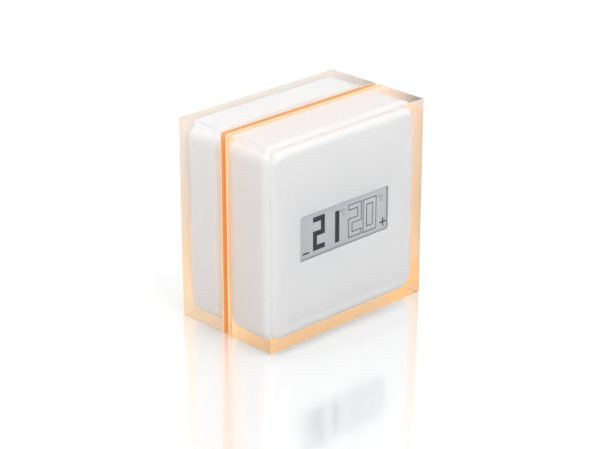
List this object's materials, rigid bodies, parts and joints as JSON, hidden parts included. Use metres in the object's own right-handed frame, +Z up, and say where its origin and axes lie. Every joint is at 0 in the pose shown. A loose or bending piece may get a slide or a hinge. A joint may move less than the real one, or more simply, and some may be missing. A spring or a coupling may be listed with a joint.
{
  "type": "wall thermostat",
  "caption": "Square wall thermostat: a clear display block whose cover rocks on a chassis that plugs into a matching relay block clipped on a wall plate.",
  "frame": {"origin": "centre of the wall plate's flat back, where it meets the wall", "axes": "+Z up, +Y into the wall, so the display faces -Y; +X to the right for someone reading it"},
  "size_m": [0.083, 0.0504, 0.083],
  "materials": {
    "clear_acrylic": "crystal clear polished acrylic",
    "white_body": "satin white moulding",
    "grey_moulding": "fine matt light grey",
    "orange_film": "saturated orange translucent film",
    "display": "matt grey electronic paper",
    "foam": "soft black foam",
    "circuit_board": "green solder mask",
    "black_component": "matt black epoxy",
    "relay_case": "blue moulded case",
    "winding": "yellow insulating tape",
    "terminal": "green moulded terminal housing",
    "steel": "plated steel",
    "cell_sleeve": "dark printed sleeve"
  },
  "bodies": {
    "wall_plate": {"wall_plate": "grey_moulding"},
    "relay_module": {"rear_shell": "clear_acrylic", "rear_clear_frame": "clear_acrylic", "rear_body": "white_body", "rear_film": "orange_film", "gap_film": "orange_film", "rear_cover": "white_body", "cover_screw_1": "steel", "cover_screw_2": "steel", "cover_screw_3": "steel", "cover_screw_4": "steel", "relay_board": "circuit_board", "relay": "relay_case", "transformer": "winding", "capacitor": "black_component", "terminal_block": "terminal", "terminal_screw_1": "steel", "terminal_screw_2": "steel", "terminal_screw_3": "steel", "rear_radio": "steel", "dock_socket": "grey_moulding", "pairing_switch": "black_component"},
    "pairing_button": {"pairing_button": "grey_moulding"},
    "chassis": {"chassis_frame": "grey_moulding", "chassis_film": "orange_film", "battery_1": "cell_sleeve", "battery_2": "cell_sleeve", "battery_3": "cell_sleeve", "battery_contacts_left": "steel", "battery_contacts_right": "steel", "pivot_pin_top": "steel", "pivot_pin_bottom": "steel"},
    "rocking_cover": {"front_shell": "clear_acrylic", "front_body": "white_body", "front_film": "orange_film", "display_panel": "display", "display_gasket": "foam", "main_board": "circuit_board", "board_screw_1": "steel", "board_screw_2": "steel", "board_screw_3": "steel", "board_screw_4": "steel", "processor": "black_component", "front_radio": "steel", "temperature_sensor": "black_component", "left_switch": "black_component", "right_switch": "black_component"},
    "left_stem": {"left_switch_stem": "grey_moulding"},
    "right_stem": {"right_switch_stem": "grey_moulding"}
  },
  "joints": [
    {"name": "relay_module_release", "type": "slide", "parent": "wall_plate", "child": "relay_module", "axis": [0, -1, 0], "range_m": [0, 0.008]},
    {"name": "pairing_press", "type": "slide", "parent": "relay_module", "child": "pairing_button", "axis": [0, -1, 0], "range_m": [0, 0.0008], "stiffness_N_per_m": 300},
    {"name": "display_module_release", "type": "slide", "parent": "relay_module", "child": "chassis", "axis": [0, -1, 0], "range_m": [0, 0.01]},
    {"name": "cover_rock", "type": "hinge", "parent": "chassis", "child": "rocking_cover", "pos_m": [0, -0.032, 0], "axis": [0, 0, 1], "range_deg": [-1.5, 1.5], "stiffness_Nm_per_rad": 3},
    {"name": "left_stem_push", "type": "slide", "parent": "rocking_cover", "child": "left_stem", "axis": [0, -1, 0], "range_m": [-0.0008, 0.0008]},
    {"name": "right_stem_push", "type": "slide", "parent": "rocking_cover", "child": "right_stem", "axis": [0, -1, 0], "range_m": [-0.0008, 0.0008]}
  ],
  "couplings": [
    {"joint": "left_stem_push", "follows": "cover_rock", "m_per_rad": -0.0291},
    {"joint": "right_stem_push", "follows": "cover_rock", "m_per_rad": 0.0291}
  ]
}
